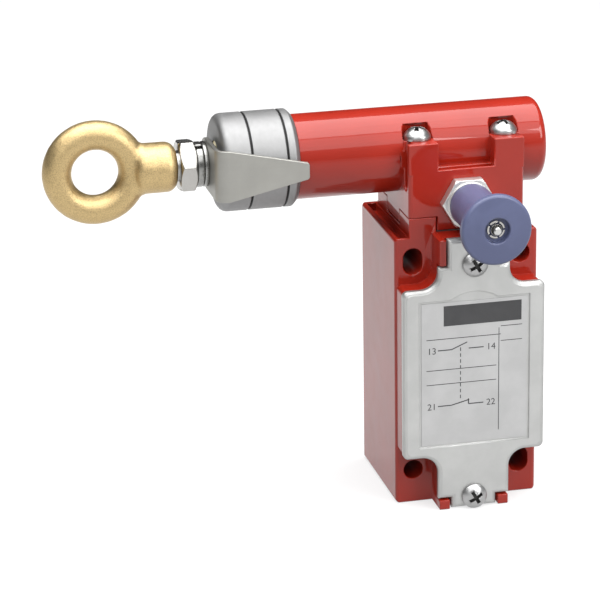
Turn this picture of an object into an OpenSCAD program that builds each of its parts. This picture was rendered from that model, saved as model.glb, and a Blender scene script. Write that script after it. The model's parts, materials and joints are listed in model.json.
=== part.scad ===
// Rope pull safety switch with a pull-to-reset knob.
// Millimetres, +Z up. The front faces -Y and the rope pulls towards -X.
// Origin: centre of the four fixing holes, on the rear mounting face.

/* [Fixing holes] */
// Spacing of the fixing holes across the body
fix_pitch_x = 30; // [29:0.1:31]
// Spacing of the fixing holes along the body
fix_pitch_z = 60; // [58:0.5:64]
// Diameter of the round holes and width of the slots
fix_d = 5.3; // [4.3:0.1:6]
// Overall length of the two slots
fix_slot = 7.3; // [6.2:0.1:8]

/* [Body] */
// Width of the body
body_w = 40; // [39:0.5:44]
// From the upper fixing holes to the top of the side walls
body_above = 6.7; // [6:0.1:9]
// From the lower fixing holes to the bottom face
body_below = 9.5; // [8.5:0.1:12]
// Depth from the mounting face to the corner pads
pad_y = 36; // [35:0.5:40]
// How far the raised boss stands in front of the pads
boss_proud = 5.2; // [3.5:0.1:7]
// Thickness of the side walls round the cavity
wall = 2.6; // [2:0.1:3.2]
// Thickness of the rear wall
back_wall = 3; // [2:0.1:4]
// Radius of the long outside edges
edge_r = 1.1; // [0.6:0.1:2]
// Height of the corner posts that carry the head, above the deck
post_h = 4.2; // [3:0.1:6]
// Width of the gutter beside the head seat
gutter_w = 2.4; // [1.6:0.1:2.8]
// Depth of that gutter
gutter_h = 2.3; // [1:0.1:2.6]

/* [Cable entry] */
// Tapping diameter of the M20 x 1.5 cable entry
entry_d = 18.5; // [18:0.1:19]
// Length of its thread
entry_l = 14; // [10:0.5:15]
// Diameter of the passage behind the thread
entry_pass_d = 16.6; // [12:0.2:17.4]

/* [Cover] */
// Thickness of the pressed cover
cover_t = 2.2; // [1.6:0.1:3]
// Thickness of the cover gasket
gasket_t = 0.6; // [0.4:0.1:1.2]
// Height of the wide part of the cover
cover_h = 48; // [46:0.5:50]
// Width of the two tongues that reach between the pads
tongue_w = 20; // [18:0.2:21]
// Radius of the inner corners beside the tongues
pocket_r = 4.6; // [3:0.1:5]
// Width of the end of the upper tongue, between the lugs
tip_w_top = 14.8; // [13:0.2:16]
// Width of the end of the lower tongue, between the lugs
tip_w_bottom = 12.6; // [11:0.2:14]
// Length of the upper locating lugs
lug_top_l = 7.2; // [5:0.1:9]
// Length of the lower locating lugs
lug_bottom_l = 2.7; // [2:0.1:4]
// Width of the recessed label field
field_w = 31; // [26:0.5:33]
// Height of the recessed label field
field_h = 41.8; // [36:0.2:43]
// Depth of the recessed label field
field_t = 0.5; // [0.3:0.1:0.8]
// Rise of the finger arch over the label field
arch_rise = 2; // [1:0.1:2.6]
// Half width of that arch
arch_half = 6.5; // [5:0.1:8]
// Thickness of the rating plate
plate_t = 0.2; // [0.1:0.05:0.3]
// Diameter of the cover screws
cover_screw_d = 4; // [3:0.1:4.2]
// Head diameter of the cover screws
cover_head_d = 7; // [6.4:0.1:7.6]
// Length of the cover screws under the head
cover_screw_l = 11; // [8:0.5:12]

/* [Head] */
// Width of the head
head_w = 32; // [31:0.5:33]
// Depth of the head
head_d = 33; // [32:0.5:34]
// Width of the four screw towers
tower_w = 8.2; // [7.6:0.1:8.8]
// Height of the screw towers above the post tops
tower_h = 20.4; // [18:0.2:23]
// Height of the front ledge above the post tops
ledge_h = 12.9; // [11:0.1:14]
// Diameter of the head screws
head_screw_d = 3.5; // [3:0.1:3.6]
// Head diameter of the head screws
head_head_d = 7.4; // [6.4:0.1:7.6]
// Height of the heads of the head screws
head_head_h = 3.3; // [2.6:0.1:3.6]
// Distance between the front and rear head screws
head_screw_pitch = 20.4; // [20:0.1:21]
// Gap between the front and rear towers
tower_gap = 13; // [12:0.2:14]
// Thread length of the head screws in the posts
head_screw_grip = 6.2; // [5:0.1:7]
// Thickness of the gasket between body and head
seat_gasket_t = 0.4; // [0.3:0.1:0.8]

/* [Barrel] */
// Outside diameter of the barrel
barrel_d = 23; // [22:0.1:24]
// Diameter of its bore
bore_d = 14.2; // [14:0.1:14.4]
// Height of the rope axis above the post tops
axis_h = 15.3; // [14.5:0.1:16.5]
// Distance of the rope axis in front of the middle of the head
axis_set = 0.5; // [0:0.1:1]
// Reach of the closed end of the barrel to the right
barrel_right = 24.2; // [24:0.1:32]
// Reach of the painted barrel to the left
barrel_left = 44.5; // [40:0.5:60]
// Thickness of the closed end
end_wall = 2.4; // [2:0.1:2.5]
// Radius round the closed end
end_r = 2.2; // [1.5:0.1:5]
// Diameter of the turned spigot under the guide cap
spigot_d = 19.6; // [18.6:0.1:20.4]
// Length of that spigot
spigot_l = 12; // [8:0.5:14]

/* [Guide cap] */
// Outside diameter of the guide cap
cap_d = 26.4; // [25:0.1:28]
// Length of the guide cap
cap_l = 20.8; // [19:0.1:26]
// Thickness of its front wall
cap_wall = 5; // [4:0.1:6]
// Radius round its front edge
cap_round = 2.2; // [1:0.1:3]
// Distance of the first tension mark from the front face
mark_1 = 7.8; // [6:0.1:9]
// Distance of the second tension mark from the front face
mark_2 = 17.4; // [15:0.1:18]
// Width of the tension marks
mark_w = 0.5; // [0.3:0.05:1]
// Depth of the tension marks
mark_depth = 0.45; // [0.2:0.05:0.8]
// Outside diameter of the rod bush
bush_d = 12; // [11:0.1:13]

/* [Rope pull] */
// Travel of the rope eye
travel = 15; // [8:0.5:15]
// Drop of the striker over the whole travel
strike = 2.4; // [2:0.1:2.5]
// Diameter of the threaded end of the draw rod
thread_d = 8; // [6:0.1:8.4]
// Diameter of the guided part of the draw rod
rod_d = 9; // [8.6:0.1:9.2]
// Diameter of the inner part of the draw rod, under the cam
rod_inner_d = 6; // [5:0.1:6.2]
// Thickness of the strip that the tension pointer is bent from
pointer_t = 1.2; // [0.8:0.1:1.6]
// Gap between the cap and the web of the pointer
pointer_gap = 1.3; // [0.5:0.1:2]
// Gap between the cap and the arm of the pointer
arm_gap = 0.5; // [0.3:0.1:1]
// Height of the pointer at its web
pointer_h = 14; // [12.6:0.2:16]
// Height of the end of the pointer arm
arm_tip_h = 4.8; // [3:0.2:8]
// How far the arm reaches past the rear of the cap
arm_reach = 1.8; // [0:0.1:3]
// Radius of the bend of the pointer, outside
bend_r = 3.4; // [2:0.1:4.5]
// Diameter of the flat washer and of the spring washer
washer_d = 12.2; // [11:0.1:13.4]
// Thickness of the flat washer
flat_washer_t = 1.2; // [0.8:0.1:1.6]
// Thickness of the spring washer
spring_washer_t = 2; // [1.2:0.1:2.2]
// Size of the lock nut across its flats
nut_af = 13; // [12:0.5:14]
// Thickness of the lock nut
nut_t = 4.5; // [4:0.1:6.5]
// Thread that shows between the lock nut and the eye
thread_gap = 0.4; // [0.3:0.1:6]
// Diameter of the shank of the eye
shank_d = 13.6; // [12:0.1:15]
// From the end of the shank to the centre of the ring
shank_l = 21.8; // [19:0.1:28]
// Radius of the middle line of the ring
ring_r = 10.2; // [9.5:0.1:13]
// Thickness of the ring
ring_t = 7.9; // [6:0.1:9]
// Depth of the tapped hole in the shank
eye_thread_l = 7; // [5:0.5:9]

/* [Springs] */
// Wire diameter of the main spring
main_wire = 1.6; // [1.2:0.1:1.7]
// Turns of the main spring
main_turns = 10; // [7:1:12]
// Wire diameter of the reset spring
reset_wire = 0.6; // [0.4:0.05:0.7]
// Turns of the reset spring
reset_turns = 4; // [3:1:4]
// Wire diameter of the contact spring
contact_wire = 0.7; // [0.4:0.05:0.8]
// Turns of the contact spring
contact_turns = 5; // [4:1:7]

/* [Reset knob] */
// Travel of the reset knob
reset_travel = 5; // [3:0.5:5]
// Height of the reset axis above the post tops
reset_h = 3.9; // [3.7:0.1:4.2]
// Size of the hexagon bush across its flats
hex_af = 13; // [12:0.5:14]
// Thickness of the hexagon
hex_t = 3; // [2:0.1:4]
// Diameter of the part of the bush that is screwed into the head
bush_thread_d = 10; // [9.6:0.1:10.4]
// Diameter of the reset pin
pin_d = 5; // [4:0.1:5]
// Diameter of the disc of the knob
knob_d = 19; // [17:0.5:22]
// Diameter of the neck of the knob
neck_d = 12; // [10.5:0.1:13]
// Length of the knob
knob_l = 24.4; // [18:0.2:28]
// Thickness of the rim of the disc
rim_t = 2.6; // [1.6:0.1:4]
// Diameter of the recess in the face of the knob
dish_d = 6.8; // [6:0.1:9]

/* [Contact block] */
// Width of the contact block
block_w = 30; // [28:0.5:32]
// Depth of the contact block
block_d = 25; // [22:0.5:28]
// Height of the contact block
block_h = 32; // [30:0.5:34]
// Diameter of the striker
striker_d = 6; // [5:0.1:6.2]
// Diameter of the plunger in the contact block
plunger_d = 5; // [4:0.1:5.4]

/* [Clearances] */
// Radial clearance of sliding rods in their bores
run_fit = 0.05; // [0.03:0.01:0.1]
// Radial clearance of screws and of pieces that are pushed together
seat_fit = 0.05; // [0.02:0.01:0.1]
// Radial clearance of screws in plain holes
screw_fit = 0.2; // [0.1:0.05:0.3]
// Gap between pieces that move past each other
free_gap = 0.3; // [0.2:0.05:0.5]

/* [Hidden] */
$fn = 64;

// Fixing holes and the levels of the body
hole_x = fix_pitch_x / 2;
hole_z = fix_pitch_z / 2;
deck_step = 1.1;
deck_t = 2.8;
z_bottom = -hole_z - body_below;
z_wall_top = hole_z + body_above;
z_deck = z_wall_top + deck_step;
z_post = z_deck + post_h;
y_boss = pad_y + boss_proud;
y_cover_back = y_boss + gasket_t;
y_cover = y_cover_back + cover_t;

// Outline of the cover and of the boss behind it
cover_w = body_w - 0.4;
corner_r = 1.5;
boss_inset = 0.25;
lug_gap = 0.5;
z_notch_top = z_deck - lug_top_l - lug_gap;
z_notch_bottom = z_bottom + lug_bottom_l + lug_gap;
z_screw_top = z_deck - 7.2;
z_screw_bottom = z_bottom + 3.4;
screw_tip_gap = 1;
pillar_r = cover_screw_d / 2 + 1.7;
cavity_w = cover_w - 2 * (boss_inset + wall);
cavity_h = cover_h - 2 * (boss_inset + wall);
throat_w = tongue_w - 2 * (boss_inset + wall);
z_throat = z_deck - deck_t;

// Seat of the head
post_w = tower_w - 0.6;
post_d = (head_d - tower_gap) / 2;
seat_gap = 0.2;
y_head_back = pad_y - head_d;
y_head_mid = pad_y - head_d / 2;
z_head = z_deck + seat_gasket_t;
z_tower = z_post + tower_h;
z_ledge = z_post + ledge_h;
head_screw_x = head_w / 2 - 4;
head_screw_ys = [y_head_mid + head_screw_pitch / 2, y_head_mid - head_screw_pitch / 2];
head_screw_hole_r = head_screw_d / 2 + seat_fit;

// Rope axis
z_axis = z_post + axis_h;
axis_y = y_head_mid + axis_set;
x_cap_front = -barrel_left - cap_l;
x_web_in = x_cap_front - pointer_gap;
x_web_out = x_web_in - pointer_t;
x_nut_in = x_web_out - flat_washer_t - spring_washer_t;
x_nut_out = x_nut_in - nut_t;
x_shank = x_nut_out - thread_gap;
x_ring = x_shank - shank_l;
bush_flange_t = 1;
x_spring_left = x_cap_front + cap_wall + bush_flange_t;
cam_left = 11;
seat_t = 3;
x_seat = -cam_left - seat_t;
slope = strike / travel;
striker_r = striker_d / 2;
cam_root = rod_inner_d / 2 + 1.2;
cam_d = bore_d - 2 * free_gap;
cam_right = travel + striker_r + 1;
ring_clip_t = 1;

// Striker and contact block
z_dome = z_axis - cam_root - (striker_r + free_gap) / cos(atan(slope));
block_back = back_wall;
z_block_top = cavity_h / 2 - 0.5;
z_block = z_block_top - block_h;
y_block = block_back + block_d;
chamber_w = 19;
z_bridge = z_block_top - 13;
bridge_t = 1;
bridge_w = plunger_d + 2;
contact_gap = 0.05;
z_chamber_top = z_bridge + bridge_t + 2.4;
z_chamber_low = z_bridge - strike - contact_gap - 3.5;
z_striker = z_throat - 6.8;
z_plunger = z_chamber_low - 2.5;
plunger_spring_l = 8;
contact_x = 0.24 * block_w;
terminal_x = block_w / 3;
strip_t = 0.04 * block_d;
strip_w = 0.12 * block_w;
clamp_w = 0.2 * block_h;
clamp_t = strip_t;
terminal_zs = [z_chamber_low - 4, z_chamber_top + 4];
block_screw_d = 3;
block_head_d = 5.2;
block_screw_x = block_w / 2 - 2.3;
block_screw_z = z_bridge - 1.6;
earth_screw_d = 3.5;
earth_head_d = 6;
terminal_screw_l = 0.36 * block_d;
earth_pillar_l = 7;
earth_x = 12;
earth_z = -cavity_h / 2 + 4.6;

// Reset knob
z_reset = z_post + reset_h;
reset_collar_t = 0.8;
bush_in = 10;
spring_chamber_d = 8;
y_hex = pad_y + hex_t;
y_bush_front = y_hex + reset_collar_t;
y_knob = y_bush_front + free_gap;
y_face = y_knob + knob_l;
y_pin_tip = axis_y + striker_r + free_gap;
y_pin_collar = pad_y - bush_in;
pin_collar_t = 1.5;
y_spring_stop = y_hex - 3.4;
dish_depth = 2;
pin_end_d = 2.2;
y_pin_step = y_face - 9;

red = [0.76, 0.20, 0.13];
satin = [0.80, 0.80, 0.79];
steel = [0.72, 0.72, 0.71];
bright = [0.86, 0.86, 0.87];
alloy = [0.78, 0.78, 0.79];
bronze = [0.76, 0.64, 0.41];
blue = [0.36, 0.38, 0.60];
rubber = [0.10, 0.10, 0.10];
moulding = [0.13, 0.13, 0.14];
brass = [0.78, 0.66, 0.34];

// Draws an outline in X and Z, extruded from depth y0 to depth y1 in front of the rear face.
module along_y(y0, y1) {
    translate([0, -y0, 0])
        rotate([90, 0, 0])
            linear_extrude(y1 - y0) children();
}

// Turns a profile of [radius, distance] about the rope axis.
module spin_rope(profile) {
    translate([0, -axis_y, z_axis])
        rotate([0, 90, 0])
            rotate_extrude() polygon(profile);
}

// A ring on the rope axis between x0 and x1.
module rope_ring(outer_d, inner_d, x0, x1) {
    spin_rope([[inner_d / 2, x0], [outer_d / 2, x0], [outer_d / 2, x1], [inner_d / 2, x1]]);
}

// Turns a profile of [radius, depth] about the reset axis.
module spin_reset(profile) {
    translate([0, 0, z_reset])
        rotate([90, 0, 0])
            rotate_extrude() polygon(profile);
}

// A rectangle with round corners, centred.
module round_rect(w, h, r) {
    square([w - 2 * r, h], center = true);
    square([w, h - 2 * r], center = true);
    for (sx = [-1, 1], sz = [-1, 1])
        translate([sx * (w / 2 - r), sz * (h / 2 - r)]) circle(r);
}

// A rectangle from [x0, z0] to [x1, z1].
module box2(x0, z0, x1, z1) {
    translate([x0, z0]) square([x1 - x0, z1 - z0]);
}

// A box between two corners.
module box3(a, b) {
    translate(a) cube(b - a);
}

// Points on a circular arc.
function arc(c, r, a0, a1, n = 8) =
    [for (i = [0:n]) c + r * [cos(a0 + (a1 - a0) * i / n), sin(a0 + (a1 - a0) * i / n)]];

// The wide part with its concave corners, each edge moved inwards by d.
module wide_shape(d) {
    round_rect(cover_w - 2 * d, cover_h - 2 * d, corner_r);
    for (mx = [0, 1], mz = [0, 1])
        mirror([mx, 0]) mirror([0, mz]) difference() {
            box2(tongue_w / 2 - d - 1, cover_h / 2 - d - 1, tongue_w / 2 + pocket_r, cover_h / 2 + pocket_r);
            translate([tongue_w / 2 + pocket_r, cover_h / 2 + pocket_r]) circle(pocket_r + d);
        }
}

// Outline of the cover: tongues with narrow ends between the lugs.
module cover_shape(d) {
    wide_shape(d);
    box2(-tongue_w / 2 + d, 0, tongue_w / 2 - d, z_notch_top - d);
    box2(-tip_w_top / 2 + d, 0, tip_w_top / 2 - d, z_deck - d);
    box2(-tongue_w / 2 + d, z_notch_bottom + d, tongue_w / 2 - d, 0);
    box2(-tip_w_bottom / 2 + d, z_bottom + 0.2 + d, tip_w_bottom / 2 - d, 0);
}

// Outline of the boss: the same tongues at their full width.
module boss_shape(d) {
    wide_shape(d);
    box2(-tongue_w / 2 + d, z_bottom, tongue_w / 2 - d, z_deck);
}

// A pan head of base radius a and height h, on its screw axis, with a cross recess turned by an angle.
module pan_head(a, h, turn) {
    rim = 0.3 * h;
    dome = h - rim;
    ball = (a * a + dome * dome) / (2 * dome);
    difference() {
        rotate_extrude() {
            square([a, rim]);
            translate([0, rim]) intersection() {
                translate([0, dome - ball]) circle(ball);
                square([a, dome]);
            }
        }
        rotate([0, 0, turn])
            for (k = [0, 90])
                rotate([0, 0, k])
                    translate([-0.55 * a, -0.13 * a, h - 0.55 * h]) cube([1.1 * a, 0.26 * a, h]);
    }
}

// A screw along -Z under a pan head, with the head above z = 0.
module pan_screw(d, length, head_d, head_h, turn) {
    pan_head(head_d / 2, head_h, turn);
    translate([0, 0, -length]) cylinder(d = d, h = length + 0.1);
}

// A helical spring from z = 0 to its length, with its outer radius and the diameter of its wire.
module coil(outer_r, wire, turns, length) {
    sides = 8;
    steps = 16;
    n = turns * steps;
    mean_r = outer_r - wire / 2;
    rise = length - wire;
    ring_at = [for (i = [0:n]) let (a = 360 * i / steps, z = wire / 2 + rise * i / n)
        for (k = [0:sides - 1]) let (b = 360 * k / sides, r = mean_r + wire / 2 * cos(b))
            [r * cos(a), r * sin(a), z + wire / 2 * sin(b)]];
    skin = [for (i = [0:n - 1], k = [0:sides - 1]) let (m = (k + 1) % sides)
        [i * sides + k, (i + 1) * sides + k, (i + 1) * sides + m, i * sides + m]];
    start_cap = [[for (k = [0:sides - 1]) k]];
    end_cap = [[for (k = [0:sides - 1]) n * sides + sides - 1 - k]];
    polyhedron(ring_at, concat(skin, start_cap, end_cap));
}

// ---- Body ----

module fixing_holes() {
    along_y(-1, pad_y + 1) {
        for (s = [-1, 1])
            translate([s * hole_x, s * hole_z]) circle(d = fix_d);
        for (s = [-1, 1])
            translate([-s * hole_x, s * hole_z]) {
                for (k = [-1, 1])
                    translate([0, k * (fix_slot - fix_d) / 2]) circle(d = fix_d);
                square([fix_d, fix_slot - fix_d], center = true);
            }
    }
}

module body_block() {
    h = z_wall_top - z_bottom;
    intersection() {
        along_y(0, pad_y)
            translate([0, z_bottom + h / 2]) round_rect(body_w, h, edge_r);
        translate([0, -pad_y / 2, z_bottom])
            linear_extrude(h) round_rect(body_w, pad_y, edge_r);
    }
    box3([-head_w / 2, -pad_y, z_wall_top - 5], [head_w / 2, -y_head_back + 0.6, z_deck]);
    along_y(pad_y - 1, y_boss) boss_shape(boss_inset);
}

module head_posts(gap) {
    for (mx = [0, 1], y = [[-pad_y, -pad_y + post_d], [-y_head_back - post_d, -y_head_back]])
        mirror([mx, 0, 0])
            box3([head_w / 2 - post_w - gap, y[0] - gap, z_deck - 1], [head_w / 2 + gap, y[1] + gap, z_post]);
}

module gutters() {
    for (mx = [0, 1])
        mirror([mx, 0, 0])
            box3([head_w / 2 + seat_gap, -pad_y + edge_r, z_wall_top - gutter_h],
                [head_w / 2 + seat_gap + gutter_w, -edge_r - 0.2, z_post + 1]);
}

module lugs() {
    along_y(y_boss - 0.5, y_cover)
        for (mx = [0, 1])
            mirror([mx, 0]) {
                box2(tip_w_top / 2 + lug_gap, z_deck - lug_top_l, tongue_w / 2 - boss_inset, z_deck);
                box2(tip_w_bottom / 2 + lug_gap, z_bottom, tongue_w / 2 - boss_inset, z_bottom + lug_bottom_l);
            }
}

module cavity() {
    along_y(back_wall, y_boss + 1) {
        round_rect(cavity_w, cavity_h, corner_r);
        box2(-throat_w / 2, 0, throat_w / 2, z_throat);
    }
    translate([0, -axis_y, z_throat - 1]) cylinder(r = striker_r + free_gap, h = deck_t + 2);
}

module cable_entry() {
    translate([0, -axis_y, z_bottom - 1]) cylinder(d = entry_d, h = entry_l + 1);
    translate([0, -axis_y, z_bottom]) cylinder(d = entry_pass_d, h = -cavity_h / 2 - z_bottom + 1);
}

module screw_pillars() {
    along_y(y_boss - cover_screw_l - screw_tip_gap - 1, y_boss) {
        translate([0, z_screw_top]) circle(pillar_r);
        box2(-pillar_r, z_screw_top, pillar_r, z_throat + 0.5);
    }
    translate([earth_x, -back_wall + 0.5, earth_z])
        rotate([90, 0, 0]) cylinder(r = 3.4, h = earth_pillar_l + 0.5);
}

module tapped_holes() {
    for (z = [z_screw_top, z_screw_bottom])
        translate([0, -y_boss - 0.1, z])
            rotate([-90, 0, 0])
                cylinder(r = cover_screw_d / 2 + seat_fit, h = cover_screw_l - gasket_t - cover_t + screw_tip_gap);
    for (sx = [-1, 1], y = head_screw_ys)
        translate([sx * head_screw_x, -y, z_post - head_screw_grip - 0.6])
            cylinder(r = head_screw_hole_r, h = head_screw_grip + 2);
    translate([earth_x, -back_wall - earth_pillar_l - 0.1, earth_z])
        rotate([-90, 0, 0]) cylinder(r = earth_screw_d / 2 + seat_fit, h = earth_pillar_l);
    for (s = [-1, 1])
        translate([s * block_screw_x, -back_wall - 0.1, block_screw_z])
            rotate([-90, 0, 0]) cylinder(r = block_screw_d / 2 + seat_fit, h = back_wall - 0.7);
}

module switch_body() {
    color(red)
        difference() {
            union() {
                difference() {
                    union() {
                        body_block();
                        head_posts(0);
                    }
                    gutters();
                    cavity();
                    cable_entry();
                }
                lugs();
                screw_pillars();
            }
            fixing_holes();
            tapped_holes();
        }
}

// ---- Cover ----

module cover_screw_holes(r, y0, y1) {
    along_y(y0, y1)
        for (z = [z_screw_top, z_screw_bottom])
            translate([0, z]) circle(r);
}

module cover_gasket() {
    color(rubber)
        difference() {
            along_y(y_boss, y_cover_back) cover_shape(2 * boss_inset);
            along_y(y_boss - 1, y_cover_back + 1) {
                round_rect(cavity_w, cavity_h, corner_r);
                box2(-throat_w / 2, 0, throat_w / 2, z_screw_top - pillar_r - 0.6);
            }
            cover_screw_holes(cover_screw_d / 2 + screw_fit, y_boss - 1, y_cover_back + 1);
        }
}

// The label field: a rectangle with a low finger arch over its top edge.
module field_shape(d) {
    arch_r = (arch_half * arch_half + arch_rise * arch_rise) / (2 * arch_rise);
    square([field_w - 2 * d, field_h - 2 * d], center = true);
    translate([0, field_h / 2 + arch_rise - arch_r]) circle(arch_r - d);
}

module front_cover() {
    rolls = [[0, 0.75], [0.15, 0.45], [0.4, 0.2], [0.85, 0]];
    color(satin)
        difference() {
            union() {
                along_y(y_cover_back, y_cover - rolls[0][1]) cover_shape(0);
                for (k = [1:len(rolls) - 1])
                    along_y(y_cover - rolls[k - 1][1], y_cover - rolls[k][1]) cover_shape(rolls[k][0]);
            }
            along_y(y_cover - field_t, y_cover + 1) field_shape(0);
            cover_screw_holes(cover_screw_d / 2 + screw_fit, y_cover_back - 1, y_cover + 1);
        }
}

module rating_plate() {
    color(alloy)
        along_y(y_cover - field_t, y_cover - field_t + plate_t)
            square([field_w - 1.4, field_h - 1.2], center = true);
}

module cover_screws() {
    color(bright)
        for (z = [z_screw_top, z_screw_bottom])
            translate([0, -y_cover, z])
                rotate([90, 0, 0])
                    pan_screw(cover_screw_d, cover_screw_l, cover_head_d, 2.4, 30);
}

// ---- Head ----

module head_outline(d) {
    translate([0, -pad_y + head_d / 2]) round_rect(head_w - 2 * d, head_d - 2 * d, edge_r);
}

module seat_gasket() {
    color(rubber)
        difference() {
            translate([0, 0, z_deck]) linear_extrude(seat_gasket_t) head_outline(0.5);
            head_posts(seat_gap);
            translate([0, -axis_y, z_deck - 1]) cylinder(r = striker_r + free_gap, h = 3);
        }
}

// The closed barrel: a cylinder with a round edge at its right end and a spigot at its left.
module barrel() {
    spin_rope(concat(
        [[0, -barrel_left - spigot_l], [spigot_d / 2, -barrel_left - spigot_l], [spigot_d / 2, -barrel_left],
            [barrel_d / 2, -barrel_left]],
        arc([barrel_d / 2 - end_r, barrel_right - end_r], end_r, 0, 90),
        [[0, barrel_right]]
    ));
}

module head_block() {
    translate([0, 0, z_head]) linear_extrude(z_ledge - z_head) head_outline(0);
    for (mx = [0, 1], y = [-pad_y, -y_head_back - post_d])
        mirror([mx, 0, 0])
            box3([head_w / 2 - tower_w, y, z_ledge - 1], [head_w / 2, y + post_d, z_tower]);
}

// Shallow drain channel on the ledges between the towers.
module ledge_channels() {
    inner = head_w / 2 - tower_w;
    for (y = [-pad_y + 1.1, -y_head_back - 3.4])
        box3([-inner, y, z_ledge - 0.9], [inner, y + 2.3, z_ledge + 1]);
}

// Cored grooves in the sides of the head, beside the towers.
module side_grooves() {
    groove_w = 2.8;
    groove_t = 1.4;
    z0 = z_post + 8.4;
    for (mx = [0, 1], y = [-pad_y + 3.3, -y_head_back - 3.3])
        mirror([mx, 0, 0])
            translate([head_w / 2 - groove_t, y, z0])
                rotate([90, 0, 90])
                    linear_extrude(groove_t + 1) {
                        circle(d = groove_w);
                        box2(-groove_w / 2, 0, groove_w / 2, z_tower - z0 + 1);
                    }
}

module head_bores() {
    spin_rope([[0, -barrel_left - spigot_l - 1], [bore_d / 2, -barrel_left - spigot_l - 1],
        [bore_d / 2, barrel_right - end_wall], [0, barrel_right - end_wall]]);
    translate([0, -axis_y, z_head - 1]) cylinder(r = striker_r + run_fit, h = z_axis - z_head);
    spin_reset([[0, y_pin_tip - 1], [pin_d / 2 + free_gap, y_pin_tip - 1], [pin_d / 2 + free_gap, y_pin_collar - 0.2],
        [bush_thread_d / 2 + seat_fit, y_pin_collar - 0.2], [bush_thread_d / 2 + seat_fit, pad_y + 1],
        [0, pad_y + 1]]);
    for (mx = [0, 1], y = head_screw_ys)
        mirror([mx, 0, 0])
            translate([head_screw_x, -y, z_post - 1]) {
                cylinder(r = head_screw_d / 2 + screw_fit, h = tower_h + 2);
                translate([0, 0, tower_h + 1]) cylinder(r = head_head_d / 2 + free_gap, h = head_head_h + free_gap);
            }
}

module head_casting() {
    color(red)
        difference() {
            union() {
                head_block();
                barrel();
            }
            head_bores();
            ledge_channels();
            side_grooves();
            head_posts(seat_gap);
        }
}

module head_screws() {
    color(bright)
        for (mx = [0, 1], y = head_screw_ys)
            mirror([mx, 0, 0])
                translate([head_screw_x, -y, z_tower])
                    pan_screw(head_screw_d, tower_h + head_screw_grip, head_head_d, head_head_h, 20);
}

// ---- Guide cap ----

module guide_cap() {
    r = cap_d / 2;
    l = cap_l;
    c = cap_round;
    c_rear = 1.2;
    m = mark_w / 2;
    g = mark_depth;
    color(alloy)
        difference() {
            translate([x_cap_front, 0, 0])
                spin_rope(concat(
                    [[bush_d / 2 + seat_fit, 0]],
                    arc([r - c, c], c, -90, 0, 4),
                    [[r, mark_1 - m], [r - g, mark_1 - m], [r - g, mark_1 + m], [r, mark_1 + m],
                    [r, mark_2 - m], [r - g, mark_2 - m], [r - g, mark_2 + m], [r, mark_2 + m],
                    [r, l - c_rear], [r - c_rear, l],
                    [spigot_d / 2 + seat_fit, l], [spigot_d / 2 + seat_fit, l - spigot_l - 0.2],
                    [bore_d / 2, l - spigot_l - 0.2], [bore_d / 2, cap_wall], [bush_d / 2 + seat_fit, cap_wall]]
                ));
        }
}

module rod_bush() {
    x0 = x_cap_front + 0.4;
    x1 = x_cap_front + cap_wall;
    color(brass) {
        spin_rope([
            [rod_d / 2 + run_fit, x0], [bush_d / 2, x0], [bush_d / 2, x1],
            [bore_d / 2 - free_gap, x1], [bore_d / 2 - free_gap, x1 + bush_flange_t],
            [rod_d / 2 + run_fit, x1 + bush_flange_t]
        ]);
    }
}

// ---- Rope pull ----

module draw_rod() {
    x_tip = x_shank - eye_thread_l + 0.6;
    x_end = cam_right + ring_clip_t + 1.2;
    color(steel)
        spin_rope([
            [0, x_tip], [thread_d / 2 - 0.6, x_tip], [thread_d / 2, x_tip + 0.6], [thread_d / 2, x_web_in],
            [rod_d / 2, x_web_in], [rod_d / 2, x_seat], [rod_inner_d / 2, x_seat],
            [rod_inner_d / 2, x_end - 0.5], [rod_inner_d / 2 - 0.5, x_end], [0, x_end]
        ]);
}

module rope_eye() {
    r = shank_d / 2;
    nose = 0.45 * r;
    color(bronze)
        difference() {
            union() {
                translate([x_ring, -axis_y, z_axis])
                    rotate([90, 0, 0])
                        rotate_extrude() translate([ring_r, 0]) circle(d = ring_t);
                spin_rope(concat(
                    [[0, x_ring + ring_r], [r, x_ring + ring_r]],
                    arc([r - nose, x_shank - nose], nose, 0, 90),
                    [[0, x_shank]]
                ));
            }
            spin_rope([[0, x_shank + 1], [thread_d / 2 + seat_fit, x_shank + 1],
                [thread_d / 2 + seat_fit, x_shank - eye_thread_l], [0, x_shank - eye_thread_l]]);
        }
}

module lock_nut() {
    r = nut_af / 2 / cos(30);
    chamfer = 0.7;
    color(bright)
        difference() {
            translate([x_nut_out, -axis_y, z_axis])
                rotate([-7.8, 0, 0])
                    rotate([0, 90, 0])
                        rotate([0, 0, 90])
                            intersection() {
                                cylinder(r = r, h = nut_t, $fn = 6);
                                rotate_extrude()
                                    polygon([[0, 0], [r - 1.7 * chamfer, 0], [r, chamfer], [r, nut_t - chamfer],
                                        [r - 1.7 * chamfer, nut_t], [0, nut_t]]);
                            }
            spin_rope([[0, x_nut_out - 1], [thread_d / 2 + seat_fit, x_nut_out - 1],
                [thread_d / 2 + seat_fit, x_nut_in + 1], [0, x_nut_in + 1]]);
        }
}

module spring_washer() {
    slit = 1;
    color(steel)
        difference() {
            rope_ring(washer_d, thread_d + 2 * screw_fit, x_nut_in, x_nut_in + spring_washer_t);
            translate([x_nut_in - 1, -axis_y - slit / 2, z_axis])
                rotate([25, 0, 0]) cube([spring_washer_t + 2, slit, washer_d]);
        }
}

module flat_washer() {
    color(bright) rope_ring(washer_d, thread_d + 2 * screw_fit, x_web_out - flat_washer_t, x_web_out);
}

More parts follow.
